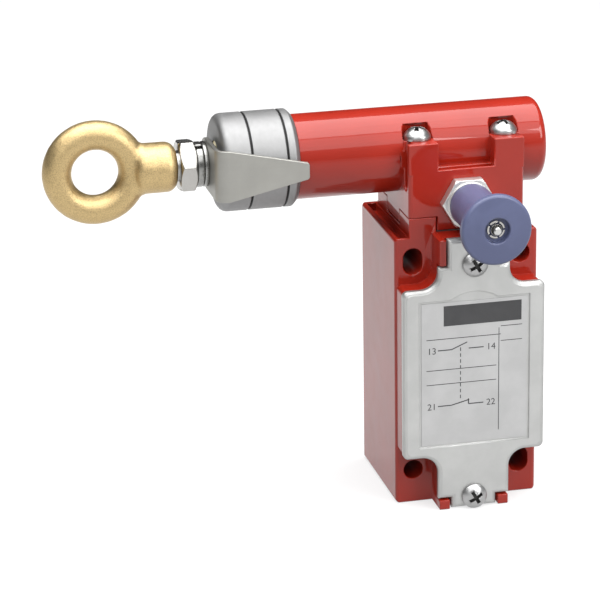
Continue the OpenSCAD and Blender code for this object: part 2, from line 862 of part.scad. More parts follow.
// The strip bent square, seen from above: the web towards the rear and the arm beside the cap.
module pointer_plan() {
    reach = -barrel_left + arm_reach - x_web_out;
    half = cap_d / 2 + arm_gap;
    inner_r = bend_r - pointer_t;
    translate([bend_r, bend_r - half - pointer_t])
        difference() {
            circle(bend_r);
            circle(inner_r);
            square(2 * bend_r);
            translate([-2 * bend_r, 0]) square([4 * bend_r, 2 * bend_r]);
            translate([0, -2 * bend_r]) square([2 * bend_r, 4 * bend_r]);
        }
    translate([0, bend_r - half - pointer_t]) square([pointer_t, half + pointer_t - bend_r + pointer_h / 2]);
    translate([bend_r, -half - pointer_t]) square([reach - bend_r, pointer_t]);
}

// The tapering side of the pointer with a round arm tip.
module pointer_side() {
    x0 = x_web_out;
    x1 = -barrel_left + arm_reach;
    tip_r = 0.9;
    h = pointer_h / 2;
    t = arm_tip_h / 2;
    x_taper = x0 + bend_r;
    polygon([[x0 - 1, -h], [x_taper, -h], [x1 - tip_r, -t], [x1, -t + tip_r], [x1, t - tip_r], [x1 - tip_r, t],
        [x_taper, h], [x0 - 1, h]]);
    for (s = [-1, 1])
        translate([x1 - tip_r, s * (t - tip_r)]) circle(tip_r);
}

// Where the web is kept, seen along the rope: round the rod and on towards the arm.
module pointer_end() {
    circle(pointer_h / 2);
    translate([-pointer_h, -cap_d]) square([2 * pointer_h, cap_d]);
}

module tension_pointer() {
    color(steel)
        difference() {
            intersection() {
                translate([x_web_out, -axis_y, z_axis - pointer_h])
                    linear_extrude(2 * pointer_h) pointer_plan();
                translate([0, 0, z_axis])
                    rotate([90, 0, 0])
                        translate([0, 0, axis_y - cap_d]) linear_extrude(2 * cap_d) pointer_side();
                translate([x_web_out - 1, -axis_y, z_axis])
                    rotate([0, 90, 0]) linear_extrude(2 * cap_l) pointer_end();
            }
            spin_rope([[0, x_web_out - 1], [thread_d / 2 + screw_fit, x_web_out - 1],
                [thread_d / 2 + screw_fit, x_web_in + 1], [0, x_web_in + 1]]);
        }
}

module main_spring() {
    color(steel)
        translate([x_spring_left, -axis_y, z_axis])
            rotate([0, 90, 0])
                coil(bore_d / 2 - free_gap, main_wire, main_turns, x_seat - x_spring_left);
}

module spring_seat() {
    color(steel) rope_ring(cam_d, rod_inner_d + 2 * seat_fit, x_seat, x_seat + seat_t);
}

// The sleeve on the rod whose underside slopes, so that a pull presses the striker down.
module cam_sleeve() {
    flat_end = -striker_r - 1;
    reach = cam_right - flat_end;
    z_flat = z_axis - cam_root - slope * flat_end;
    color(brass)
        difference() {
            rope_ring(cam_d, rod_inner_d + 2 * seat_fit, -cam_left, cam_right);
            translate([0, -axis_y + cam_d, 0])
                rotate([90, 0, 0])
                    linear_extrude(2 * cam_d)
                        polygon([[flat_end, z_flat], [cam_right + 1, z_axis - cam_root - slope * (cam_right + 1)],
                            [cam_right + 1, z_axis - 2 * cam_d], [flat_end, z_axis - 2 * cam_d]]);
        }
}

module retaining_ring() {
    color(bright)
        difference() {
            rope_ring(rod_inner_d + 4, rod_inner_d + 2 * seat_fit, cam_right, cam_right + ring_clip_t);
            translate([cam_right - 1, -axis_y - 1.2, z_axis]) cube([3, 2.4, cap_d]);
        }
}

// ---- Striker and contacts ----

// Domed pin between the cam and the contacts, with the groove that the reset pin latches into.
module striker() {
    z_low = z_striker;
    groove_z = z_reset + strike;
    g = striker_r - 0.8;
    h = pin_d / 2 - 0.3;
    color(steel)
        translate([0, -axis_y, 0])
            rotate_extrude()
                polygon(concat(
                    [[0, z_low], [striker_r, z_low], [striker_r, groove_z - h], [g, groove_z - h],
                        [g, groove_z + h], [striker_r, groove_z + h]],
                    arc([0, z_dome], striker_r, 0, 88),
                    [[0, z_dome + striker_r]]
                ));
}

module contact_plunger() {
    color(moulding)
        translate([0, -axis_y, z_plunger]) cylinder(d = plunger_d, h = z_striker - z_plunger);
}

module contact_bridge() {
    color(brass)
        difference() {
            box3([-chamber_w / 2 + 0.6, -axis_y - bridge_w / 2, z_bridge],
                [chamber_w / 2 - 0.6, -axis_y + bridge_w / 2, z_bridge + bridge_t]);
            translate([0, -axis_y, z_bridge - 1]) cylinder(r = plunger_d / 2 + seat_fit, h = 3);
        }
}

module contact_spring() {
    color(steel)
        translate([0, -axis_y, z_plunger - plunger_spring_l])
            coil(plunger_d / 2 + 0.3, contact_wire, contact_turns, plunger_spring_l);
}

// One contact strip: a plate on the chamber wall, a button towards the bridge and a terminal lug.
module contact_strip(z_wall, z_button, dir) {
    z0 = min(z_wall, z_wall - dir * strip_t);
    lug = clamp_w + strip_t;
    box3([contact_x - strip_w / 2, -y_block - strip_t, z0],
        [contact_x + strip_w / 2, -axis_y + strip_w / 2, z0 + strip_t]);
    translate([contact_x, -axis_y, min(z_wall - dir * strip_t / 2, z_button)])
        cylinder(d = 2.6, h = abs(z_wall - dir * strip_t / 2 - z_button));
    z1 = z_wall + dir * lug;
    box3([contact_x - strip_w / 2, -y_block - strip_t, min(z0, z1)],
        [terminal_x + clamp_w / 2 + 0.2, -y_block, max(z0 + strip_t, z1)]);
}

module fixed_contacts() {
    color(brass)
        difference() {
            for (mx = [0, 1])
                mirror([mx, 0, 0]) {
                    contact_strip(z_chamber_top, z_bridge + bridge_t + contact_gap, 1);
                    contact_strip(z_chamber_low, z_bridge - strike - contact_gap, -1);
                }
            terminal_holes(earth_screw_d / 2 + screw_fit, y_block - 1, y_block + 3);
        }
}

module terminal_holes(r, y0, y1) {
    along_y(y0, y1)
        for (sx = [-1, 1], z = terminal_zs)
            translate([sx * terminal_x, z]) circle(r);
}

module terminal_clamps() {
    y0 = y_block + strip_t;
    color(steel)
        difference() {
            along_y(y0, y0 + clamp_t)
                for (sx = [-1, 1], z = terminal_zs)
                    translate([sx * terminal_x, z]) square([clamp_w, clamp_w], center = true);
            terminal_holes(earth_screw_d / 2 + screw_fit, y0 - 1, y0 + 2);
        }
}

module terminal_screws() {
    color(bright)
        for (sx = [-1, 1], z = terminal_zs)
            translate([sx * terminal_x, -y_block - strip_t - clamp_t, z])
                rotate([90, 0, 0]) pan_screw(earth_screw_d, terminal_screw_l, earth_head_d, 2, 45);
}

module contact_block() {
    color(moulding)
        difference() {
            along_y(block_back, y_block)
                translate([0, (z_block + z_block_top) / 2]) round_rect(block_w, block_h, 1.2);
            box3([-chamber_w / 2, -y_block - 1, z_chamber_low], [chamber_w / 2, -axis_y + bridge_w / 2 + 0.4, z_chamber_top]);
            translate([0, -axis_y, z_chamber_low]) cylinder(r = plunger_d / 2 + run_fit, h = block_h);
            translate([0, -axis_y, z_plunger - plunger_spring_l])
                cylinder(r = plunger_d / 2 + 0.7, h = z_chamber_low - z_plunger + plunger_spring_l + 1);
            terminal_holes(earth_screw_d / 2 + seat_fit, y_block + strip_t + clamp_t - terminal_screw_l - 1, y_block + 1);
            block_screw_holes(block_screw_d / 2 + screw_fit, block_back - 1, y_block + 1);
        }
}

module block_screw_holes(r, y0, y1) {
    along_y(y0, y1)
        for (s = [-1, 1])
            translate([s * block_screw_x, block_screw_z]) circle(r);
}

module block_screws() {
    color(bright)
        for (s = [-1, 1])
            translate([s * block_screw_x, -y_block, block_screw_z])
                rotate([90, 0, 0]) pan_screw(block_screw_d, block_d + back_wall - 1, block_head_d, 1.8, 45);
}

module earth_screw() {
    color(bright)
        translate([earth_x, -back_wall - earth_pillar_l, earth_z])
            rotate([90, 0, 0]) pan_screw(earth_screw_d, earth_pillar_l - 1, earth_head_d, 2, 45);
}

// ---- Reset knob ----

module reset_bush() {
    color(bright)
        difference() {
            union() {
                translate([0, -pad_y, z_reset])
                    rotate([90, 0, 0])
                        intersection() {
                            cylinder(r = hex_af / 2 / cos(30), h = hex_t, $fn = 6);
                            cylinder(r1 = hex_af / 2 / cos(30) + hex_t, r2 = hex_af / 2 + 0.45, h = hex_t);
                        }
                spin_reset([[0, y_pin_collar], [bush_thread_d / 2, y_pin_collar], [bush_thread_d / 2, pad_y + 0.5],
                    [neck_d / 2, pad_y + 0.5], [neck_d / 2, y_bush_front], [0, y_bush_front]]);
            }
            spin_reset([[0, y_pin_collar - 1], [spring_chamber_d / 2, y_pin_collar - 1],
                [spring_chamber_d / 2, y_spring_stop], [pin_d / 2 + run_fit, y_spring_stop],
                [pin_d / 2 + run_fit, y_bush_front + 1], [0, y_bush_front + 1]]);
        }
}

module reset_pin() {
    r = pin_d / 2;
    c = pin_collar_t;
    color(steel)
        spin_reset([
            [0, y_pin_tip], [r - 0.5, y_pin_tip], [r, y_pin_tip + 0.5], [r, y_pin_collar],
            [spring_chamber_d / 2 - 0.2, y_pin_collar], [spring_chamber_d / 2 - 0.2, y_pin_collar + c],
            [r, y_pin_collar + c], [r, y_pin_step], [pin_end_d / 2, y_pin_step],
            [pin_end_d / 2, y_face + 0.2], [pin_end_d / 2 - 0.3, y_face + 0.5], [0, y_face + 0.5]
        ]);
}

module reset_spring() {
    y0 = y_pin_collar + pin_collar_t;
    color(steel)
        translate([0, -y0, z_reset])
            rotate([90, 0, 0])
                coil(spring_chamber_d / 2 - 0.3, reset_wire, reset_turns, y_spring_stop - y0);
}

// Mushroom knob: a straight neck that flares into a disc with a dished recess.
module reset_knob() {
    r = knob_d / 2;
    n = neck_d / 2;
    flare = y_face - rim_t;
    y_neck = y_knob + 0.48 * knob_l;
    round_r = 0.9;
    sweep = [for (i = [0:8]) let (t = i / 8) [n + (r - n) * (1 - cos(90 * t)), y_neck + (flare - y_neck) * sin(90 * t)]];
    color(blue)
        spin_reset(concat(
            [[pin_d / 2 + seat_fit, y_knob], [n - 0.4, y_knob], [n, y_knob + 0.4]],
            sweep,
            arc([r - round_r, y_face - round_r - 0.4], round_r, 0, 80),
            [[dish_d / 2 + 0.3, y_face], [dish_d / 2, y_face - 0.3], [dish_d / 2, y_face - dish_depth],
                [pin_end_d / 2 + seat_fit, y_face - dish_depth], [pin_end_d / 2 + seat_fit, y_pin_step],
                [pin_d / 2 + seat_fit, y_pin_step]]
        ));
}

module push_nut() {
    outer_r = 2.4;
    y0 = y_face - dish_depth;
    color(bright)
        difference() {
            spin_reset([[pin_end_d / 2 + seat_fit, y0 + 0.5], [pin_end_d / 2 + 0.4, y0 + 0.9], [outer_r - 0.5, y0 + 0.45],
                [outer_r, y0 + 0.45], [outer_r, y0], [pin_end_d / 2 + seat_fit, y0]]);
            for (k = [0:4])
                translate([0, -y0 - 1, z_reset])
                    rotate([0, 72 * k, 0])
                        translate([outer_r - 0.7, -1, -0.25]) cube([1, 3, 0.5]);
        }
}

switch_body();
cover_gasket();
front_cover();
rating_plate();
cover_screws();
seat_gasket();
head_casting();
head_screws();
guide_cap();
rod_bush();
draw_rod();
rope_eye();
lock_nut();
spring_washer();
flat_washer();
tension_pointer();
main_spring();
spring_seat();
cam_sleeve();
retaining_ring();
striker();
contact_plunger();
contact_bridge();
contact_spring();
reset_bush();
reset_pin();
reset_spring();
reset_knob();
push_nut();
contact_block();
block_screws();
fixed_contacts();
terminal_clamps();
terminal_screws();
earth_screw();
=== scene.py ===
"""Looks of a rope pull switch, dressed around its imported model. All lengths are metres."""

import json
import logging
import math
from dataclasses import dataclass
from enum import Enum
from typing import Any, Callable, Sequence

import bmesh
import bpy
import numpy as np
from mathutils import Matrix, Vector


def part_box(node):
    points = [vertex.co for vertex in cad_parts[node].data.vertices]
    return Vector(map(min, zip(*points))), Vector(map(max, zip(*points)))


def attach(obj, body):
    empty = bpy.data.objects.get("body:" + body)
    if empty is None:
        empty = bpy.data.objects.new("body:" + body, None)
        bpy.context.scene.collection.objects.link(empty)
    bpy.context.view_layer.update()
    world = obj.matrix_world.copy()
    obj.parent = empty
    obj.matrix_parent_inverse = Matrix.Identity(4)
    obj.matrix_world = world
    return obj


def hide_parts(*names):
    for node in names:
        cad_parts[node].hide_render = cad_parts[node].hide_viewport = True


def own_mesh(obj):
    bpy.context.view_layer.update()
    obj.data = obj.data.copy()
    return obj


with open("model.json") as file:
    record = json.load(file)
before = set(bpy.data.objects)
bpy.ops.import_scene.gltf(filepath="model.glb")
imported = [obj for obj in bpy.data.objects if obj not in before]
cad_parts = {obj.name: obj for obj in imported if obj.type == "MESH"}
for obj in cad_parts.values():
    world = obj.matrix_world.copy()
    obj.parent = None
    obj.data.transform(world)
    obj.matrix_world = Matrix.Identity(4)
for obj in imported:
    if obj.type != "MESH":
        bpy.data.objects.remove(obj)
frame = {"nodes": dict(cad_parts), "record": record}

LOG = logging.getLogger("switch")
MM = 0.001
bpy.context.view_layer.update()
Colour = tuple[float, float, float]
Grid = np.ndarray


# ---- Shader maths ----


class Value:
    """A number or a node's output socket, with arithmetic that adds Math nodes."""

    def __init__(self, graph: "Graph", socket: Any) -> None:
        """Keeps the graph and the socket or number."""
        self.graph = graph
        self.socket = socket

    def _math(self, operation: str, first: Any, second: Any = 0.0, clamp: bool = False) -> "Value":
        """Adds one Math node.

        Args:
            operation: The node's operation, such as MULTIPLY.
            first: The first operand.
            second: The second operand.
            clamp: Whether the result stays within 0 and 1.

        Returns:
            The node's result.
        """
        node = self.graph.node("Math", {"operation": operation, "use_clamp": clamp}, {0: first, 1: second})
        return Value(self.graph, node.outputs[0])

    def __add__(self, other: Any) -> "Value":
        """self + other."""
        return self._math("ADD", self, other)

    def __sub__(self, other: Any) -> "Value":
        """self - other."""
        return self._math("SUBTRACT", self, other)

    def __mul__(self, other: Any) -> "Value":
        """self * other."""
        return self._math("MULTIPLY", self, other)

    def __abs__(self) -> "Value":
        """The size of self without its sign."""
        return self._math("ABSOLUTE", self)

    def clamp(self) -> "Value":
        """self kept within 0 and 1."""
        return self._math("ADD", self, 0.0, clamp=True)

    def least(self, other: Any) -> "Value":
        """The lesser of self and other."""
        return self._math("MINIMUM", self, other)

    def step(self, low: float, high: float) -> "Value":
        """A smooth rise from 0 at low to 1 at high."""
        node = self.graph.node("MapRange", {"interpolation_type": "SMOOTHSTEP", "clamp": True},
                               {"Value": self, "From Min": low, "From Max": high})
        return Value(self.graph, node.outputs["Result"])


class Graph:
    """A node tree under construction."""

    def __init__(self, tree: bpy.types.NodeTree) -> None:
        """Empties the tree and keeps it."""
        self.tree = tree
        tree.nodes.clear()

    def node(self, kind: str, settings: dict[str, Any] | None = None,
             inputs: dict[Any, Any] | None = None) -> bpy.types.Node:
        """Adds one node.

        Args:
            kind: The node's type without its ShaderNode prefix.
            settings: Properties set first.
            inputs: Values or links by socket name or number.

        Returns:
            The new node.
        """
        node = self.tree.nodes.new("ShaderNode" + kind)
        for key, value in (settings or {}).items():
            setattr(node, key, value)
        for key, value in (inputs or {}).items():
            target = node.inputs[key]
            source = value.socket if isinstance(value, Value) else value
            if isinstance(source, bpy.types.NodeSocket):
                self.tree.links.new(source, target)
            elif target.type == "RGBA" and len(source) == 3:
                target.default_value = (*source, 1.0)
            else:
                target.default_value = source
        return node

    def place(self, scale: Sequence[float] = (1, 1, 1)) -> bpy.types.NodeSocket:
        """Object coordinates, scaled along each axis."""
        where = self.node("TexCoord").outputs["Object"]
        mapped = self.node("Mapping", {"vector_type": "POINT"}, {"Vector": where, "Scale": scale})
        return mapped.outputs["Vector"]

    def axes(self, vector: bpy.types.NodeSocket) -> tuple["Value", "Value", "Value"]:
        """The three components of a vector."""
        node = self.node("SeparateXYZ", None, {"Vector": vector})
        return tuple(Value(self, out) for out in node.outputs)

    def noise(self, scale: float, detail: float = 3.0, roughness: float = 0.55, distortion: float = 0.0,
              vector: bpy.types.NodeSocket | None = None) -> "Value":
        """Noise of about `scale` features per metre."""
        node = self.node("TexNoise", {"noise_dimensions": "3D"}, {
            "Vector": vector or self.place(), "Scale": scale, "Detail": detail, "Roughness": roughness,
            "Distortion": distortion})
        return Value(self, node.outputs["Fac"])

    def blend(self, factor: Any, first: Any, second: Any) -> bpy.types.NodeSocket:
        """A colour between first, at 0, and second, at 1."""
        node = self.node("Mix", {"data_type": "RGBA", "clamp_factor": True},
                         {0: factor, 6: first, 7: second})
        return node.outputs[2]

    def bump(self, height: "Value", distance: float, strength: float = 1.0,
             normal: bpy.types.NodeSocket | None = None) -> bpy.types.NodeSocket:
        """A normal raised by a height of 0 to 1 over a distance in metres."""
        inputs = {"Height": height, "Distance": distance, "Strength": strength}
        if normal is not None:
            inputs["Normal"] = normal
        return self.node("Bump", None, inputs).outputs["Normal"]

    def eased(self, radius: float) -> bpy.types.NodeSocket:
        """A normal that rounds edges by that radius."""
        return self.node("Bevel", {"samples": 6}, {"Radius": radius}).outputs["Normal"]


# ---- Finishes ----


@dataclass(frozen=True)
class Finish:
    """A surface finish: its colour, its gloss and the detail that varies over it."""

    name: str
    colour: Colour
    roughness: float
    metallic: float = 0.0
    coat: float = 0.0
    coat_roughness: float = 0.1
    specular: float = 0.5

    def build(self) -> bpy.types.Material:
        """Makes the material.

        Returns:
            The node material of this finish.
        """
        material = bpy.data.materials.new(self.name)
        material.use_nodes = True
        graph = Graph(material.node_tree)
        varied = self.detail(graph)
        inputs = {"Base Color": self.colour, "Roughness": self.roughness, "Metallic": self.metallic,
                  "Coat Weight": self.coat, "Coat Roughness": self.coat_roughness,
                  "Specular IOR Level": self.specular}
        inputs.update(varied)
        shader = graph.node("BsdfPrincipled", None, inputs)
        graph.node("OutputMaterial", None, {"Surface": shader.outputs[0]})
        material.diffuse_color = (*self.colour, 1.0)
        return material

    def detail(self, graph: Graph) -> dict[str, Any]:
        """The inputs that vary over the surface, by socket name."""
        raise NotImplementedError


@dataclass(frozen=True)
class GlossPaint(Finish):
    """Thick gloss paint over a casting: orange peel and slow waves in its film, and a slightly duller shade."""

    edge: float = 0.35 * MM
    peel: float = 420.0
    waves: float = 60.0
    film: float = 0.02 * MM
    dull: float = 0.86

    def detail(self, graph: Graph) -> dict[str, Any]:
        """Orange peel, slow waves in the film and slight shade changes."""
        eased = graph.eased(self.edge)
        peel = graph.noise(self.peel, 2.0, 0.4)
        slow = graph.noise(self.waves, 2.0)
        normal = graph.bump(peel * 0.7 + slow * 0.3, self.film, 0.5, eased)
        shade = tuple(c * self.dull for c in self.colour)
        colour = graph.blend(graph.noise(35.0, 3.0).step(0.35, 0.7), shade, self.colour)
        rough = graph.noise(180.0, 3.0) * 0.1 + (self.roughness - 0.05)
        return {"Base Color": colour, "Normal": normal, "Roughness": rough}


@dataclass(frozen=True)
class Metal(Finish):
    """Turned, rolled or plated metal with a fine grain along chosen axes."""

    grain: tuple[float, float, float] = (900.0, 900.0, 900.0)
    depth: float = 0.006 * MM
    spread: float = 0.12
    edge: float = 0.15 * MM
    tint: float = 0.12

    def detail(self, graph: Graph) -> dict[str, Any]:
        """Grain in height and gloss, with cloudy tone changes."""
        eased = graph.eased(self.edge)
        streak = graph.noise(1.0, 4.0, 0.6, vector=graph.place(self.grain))
        cloud = graph.noise(90.0, 4.0, 0.6)
        dull = tuple(c * (1.0 - self.tint) for c in self.colour)
        colour = graph.blend(cloud.step(0.3, 0.75), dull, self.colour)
        rough = (streak - 0.5) * self.spread + (cloud - 0.5) * self.spread + self.roughness
        return {"Base Color": colour, "Roughness": rough.clamp(), "Normal": graph.bump(streak, self.depth, 0.6, eased)}


@dataclass(frozen=True)
class Grooved(Metal):
    """Turned metal with painted shade in its grooves, given by their places along X."""

    grooves: tuple[float, ...] = ()
    half: float = 0.34 * MM
    # painted shade: the dark colour laid into the grooves
    groove_shade: Colour = (0.03, 0.03, 0.03)

    def detail(self, graph: Graph) -> dict[str, Any]:
        """The metal's own detail, with the colour darkened near each groove as painted shade."""
        varied = super().detail(graph)
        x, _, _ = graph.axes(graph.place())
        unshaded = Value(graph, graph.node("Value").outputs[0])
        unshaded.socket.default_value = 1.0
        # painted shade: the colour falls to the dark one within each groove
        for place in self.grooves:
            unshaded = unshaded.least(abs(x - place).step(self.half * 0.55, self.half))
        varied["Base Color"] = graph.blend(unshaded, self.groove_shade, varied["Base Color"])
        return varied


@dataclass(frozen=True)
class SandCast(Finish):
    """Sand-cast bronze: a close grain of pits and grains with a dull lustre."""

    edge: float = 0.5 * MM
    fine: float = 3400.0
    coarse: float = 900.0
    depth: float = 0.13 * MM
    pit: float = 0.66

    def detail(self, graph: Graph) -> dict[str, Any]:
        """Grains in height, colour and gloss."""
        eased = graph.eased(self.edge)
        grain = graph.noise(self.fine, 3.0, 0.6)
        coarse = graph.noise(self.coarse, 2.0, 0.5)
        normal = graph.bump(grain * 0.65 + coarse * 0.35, self.depth, 0.9, eased)
        dark = tuple(c * self.pit for c in self.colour)
        colour = graph.blend(grain.step(0.3, 0.62), dark, self.colour)
        return {"Base Color": colour, "Roughness": grain * 0.2 + (self.roughness - 0.1), "Normal": normal}


@dataclass(frozen=True)
class Moulding(Finish):
    """Moulded plastic or rubber with a faint sheen and a fine texture."""

    scale: float = 1500.0
    depth: float = 0.01 * MM
    edge: float = 0.2 * MM

    def detail(self, graph: Graph) -> dict[str, Any]:
        """Fine texture, flow marks and slight tone changes."""
        eased = graph.eased(self.edge)
        fine = graph.noise(self.scale, 3.0)
        flow = graph.noise(70.0, 3.0, 0.6, 0.6)
        light = tuple(min(1.0, c * 1.14 + 0.005) for c in self.colour)
        colour = graph.blend(flow.step(0.35, 0.7), self.colour, light)
        return {"Base Color": colour, "Roughness": fine * 0.12 + (self.roughness - 0.06),
                "Normal": graph.bump(fine, self.depth, 0.6, eased)}


GROOVES = (-57.5 * MM, -47.9 * MM)


class Finishes(Enum):
    """Every finish of the switch."""

    RED_PAINT = GlossPaint("gloss_red_paint", (0.30, 0.014, 0.005), 0.4, specular=0.12, coat=0.66, coat_roughness=0.045)
    COVER = Metal("satin_cover_metal", (0.50, 0.503, 0.495), 0.44, 0.85, grain=(260.0, 260.0, 40.0), edge=0.5 * MM,
                  depth=0.004 * MM)
    PLATE = Metal("matt_plate_alloy", (0.50, 0.50, 0.50), 0.5, 0.75, grain=(60.0, 900.0, 900.0), edge=0.05 * MM)
    SCREW = Metal("zinc_plated_screw", (0.42, 0.42, 0.42), 0.34, 1.0, edge=0.12 * MM, tint=0.2)
    # painted shade: near-black metal for the inside of the screw recesses
    RECESS = Metal("screw_recess", (0.045, 0.044, 0.042), 0.5, 0.6)
    HEX = Metal("satin_nickel", (0.66, 0.655, 0.64), 0.42, 0.9, edge=0.2 * MM, tint=0.1)
    NICKEL = Metal("bright_nickel", (0.43, 0.42, 0.40), 0.2, 1.0, edge=0.15 * MM, tint=0.1)
    # painted shade: plated metal darker than the nut's, for the shade between the stacked washers
    WASHER = Metal("plated_washer", (0.30, 0.30, 0.29), 0.26, 1.0, edge=0.15 * MM, tint=0.15)
    TURNED = Metal("turned_steel", (0.56, 0.56, 0.55), 0.3, 1.0, grain=(2600.0, 200.0, 200.0))
    WIRE = Metal("drawn_spring_wire", (0.42, 0.42, 0.42), 0.32, 1.0)
    STRIP = Metal("dull_rolled_strip", (0.37, 0.365, 0.34), 0.46, 1.0, grain=(60.0, 60.0, 900.0), depth=0.004 * MM,
                  edge=0.2 * MM)
    CAP = Grooved("matt_turned_alloy", (0.29, 0.29, 0.29), 0.56, 1.0, grain=(900.0, 500.0, 500.0), depth=0.012 * MM,
                  edge=0.25 * MM, spread=0.22, grooves=GROOVES)
    BRONZE = SandCast("sand_cast_bronze", (0.56, 0.415, 0.205), 0.4, 0.9)
    BRASS = Metal("turned_brass", (0.70, 0.52, 0.22), 0.3, 1.0)
    BLUE = Moulding("satin_blue_moulding", (0.073, 0.085, 0.163), 0.38, specular=0.5)
    BLACK = Moulding("black_moulding", (0.018, 0.018, 0.020), 0.45)
    RUBBER = Moulding("gasket_rubber", (0.020, 0.020, 0.020), 0.7)
    INK = Moulding("printing_ink", (0.035, 0.035, 0.037), 0.5, depth=0.001 * MM, edge=0.005 * MM)

    def material(self) -> bpy.types.Material:
        """The finish's material, made on its first use."""
        return bpy.data.materials.get(self.value.name) or self.value.build()


SLOT_FINISH: dict[str, Finishes] = {
    "red_paint": Finishes.RED_PAINT,
    "satin_cover": Finishes.COVER,
    "plate": Finishes.PLATE,
    "plated_screw": Finishes.SCREW,
    "plated_nut": Finishes.NICKEL,
    "bare_steel": Finishes.TURNED,
    "spring_steel": Finishes.WIRE,
    "pointer_strip": Finishes.STRIP,
    "cap_alloy": Finishes.CAP,
    "sand_bronze": Finishes.BRONZE,
    "turned_brass": Finishes.BRASS,
    "knob_blue": Finishes.BLUE,
    "black_moulding": Finishes.BLACK,
    "gasket_rubber": Finishes.RUBBER,
}


def dress_nodes() -> None:
    """Gives every carried-over node the material of its record slot."""
    for row in frame["record"]["subparts"]:
        node = frame["nodes"][row["node"]]
        material = SLOT_FINISH[row["material_slot"]].material()
        for k in range(max(1, len(node.material_slots))):
            if k < len(node.material_slots):
                node.material_slots[k].material = material
            else:
                node.data.materials.append(material)


# ---- Pieces worked up from the solids ----


def add_piece(name: str, mesh: bpy.types.Mesh, finish: Finishes, body: str) -> bpy.types.Object:
    """Links a mesh as a piece that rides one body.

    Args:
        name: The piece's name.
        mesh: Its mesh, in the shared frame.
        finish: Its finish.
        body: The body that it moves with.

    Returns:
        The new object.
    """
    piece = bpy.data.objects.new(name, mesh)
    bpy.context.collection.objects.link(piece)
    mesh.materials.clear()
    mesh.materials.append(finish.material())
    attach(piece, body)
    return piece


DOME_SHARE = 0.7
MERGE_WITHIN = 0.002 * MM


@dataclass(frozen=True)
class Well:
    """The cross recess of one screw head: what lies below the head's dome and near its axis."""

    top: tuple[float, float, float]
    axis: int
    sign: float
    reach: float
    ball: float
    skin: float = 0.12 * MM
    floor: float = 2.2 * MM

    def holds(self, points: Grid) -> Grid:
        """Which points lie in the well: nearer the axis than its reach and under the dome."""
        off = points - np.array(self.top)
        across = np.delete(off, self.axis, axis=1)
        radius = np.hypot(across[:, 0], across[:, 1])
        dome = np.sqrt(np.maximum(self.ball ** 2 - radius ** 2, 0.0)) - self.ball
        depth = dome - off[:, self.axis] * self.sign
        return (radius < self.reach) & (depth > self.skin) & (depth < self.floor)


def ball_of(radius: float, height: float) -> float:
    """Radius of the dome of a pan head: (a^2 + h^2) / 2h, where h is the dome's share of the height."""
    dome = DOME_SHARE * height
    return (radius * radius + dome * dome) / (2.0 * dome)


COVER_WELLS = tuple(Well((0.0, -46.4 * MM, z * MM), 1, -1.0, 2.2 * MM, ball_of(3.5 * MM, 2.4 * MM))
                    for z in (30.6, -36.1))
HEAD_WELLS = tuple(Well((x * MM, y * MM, 65.7 * MM), 2, 1.0, 2.3 * MM, ball_of(3.7 * MM, 3.3 * MM))
                   for x in (-12.0, 12.0) for y in (-29.7, -9.3))


@dataclass
class EasedCopy:
    """A solid's surface, merged and with its sharp edges rounded."""

    node: str
    body: str
    finish: Finishes
    width: float
    segments: int = 3
    angle: float = 35.0
    wells: tuple["Well", ...] = ()

    def build(self) -> bpy.types.Object:
        """Copies, merges and rounds the solid and takes its place.

        Returns:
            The piece.
        """
        mesh = self.merged()
        piece = add_piece("looks_" + self.node, mesh, self.finish, self.body)
        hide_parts(self.node)
        if self.width > 0.0:
            rounding = piece.modifiers.new("rounding", "BEVEL")
            rounding.width = self.width
            rounding.segments = self.segments
            rounding.limit_method = "WEIGHT"
            rounding.loop_slide = False
            rounding.use_clamp_overlap = False
        normals = piece.modifiers.new("normals", "WEIGHTED_NORMAL")
        normals.keep_sharp = True
        normals.weight = 90
        if self.wells:
            self.darken(mesh)
        return piece

    def darken(self, mesh: bpy.types.Mesh) -> None:
        """Gives the faces inside the wells a near-black finish: painted shade for the recesses."""
        mesh.materials.append(Finishes.RECESS.material())
        middle = np.empty(len(mesh.polygons) * 3)
        mesh.polygons.foreach_get("center", middle)
        middle = middle.reshape(-1, 3)
        inside = np.zeros(len(middle), dtype=bool)
        for well in self.wells:
            inside |= well.holds(middle)
        mesh.polygons.foreach_set("material_index", inside.astype(np.int32))

    def merged(self) -> bpy.types.Mesh:
        """The solid's mesh with its corners joined and its outward edges marked for rounding.

        Returns:
            A new mesh.
        """
        mesh = frame["nodes"][self.node].data.copy()
        shape = bmesh.new()
        shape.from_mesh(mesh)
        bmesh.ops.remove_doubles(shape, verts=shape.verts, dist=MERGE_WITHIN)
        for face in shape.faces:
            face.smooth = True
        weight = shape.edges.layers.float.new("bevel_weight_edge")
        for edge in shape.edges:
            sharp = edge.calc_face_angle(0.0) > math.radians(self.angle)
            edge[weight] = float(sharp and edge.is_convex)
            edge.smooth = not sharp or edge.is_convex
        shape.to_mesh(mesh)
        shape.free()
        return mesh


EASED: tuple[EasedCopy, ...] = (
    EasedCopy("switch_body", "switch", Finishes.RED_PAINT, 0.3 * MM),
    EasedCopy("head_casting", "switch", Finishes.RED_PAINT, 0.3 * MM),
    EasedCopy("front_cover", "switch", Finishes.COVER, 0.12 * MM),
    EasedCopy("guide_cap", "switch", Finishes.CAP, 0.25 * MM),
    EasedCopy("tension_pointer", "pull", Finishes.STRIP, 0.2 * MM),
    EasedCopy("lock_nut", "pull", Finishes.NICKEL, 0.18 * MM),
    EasedCopy("spring_washer", "pull", Finishes.WASHER, 0.45 * MM),
    EasedCopy("flat_washer", "pull", Finishes.WASHER, 0.3 * MM),
    EasedCopy("reset_bush", "switch", Finishes.HEX, 0.15 * MM),
    EasedCopy("reset_knob", "reset", Finishes.BLUE, 0.15 * MM),
    EasedCopy("cover_screws", "switch", Finishes.SCREW, 0.1 * MM, wells=COVER_WELLS),
    EasedCopy("head_screws", "switch", Finishes.SCREW, 0.1 * MM, wells=HEAD_WELLS),
)


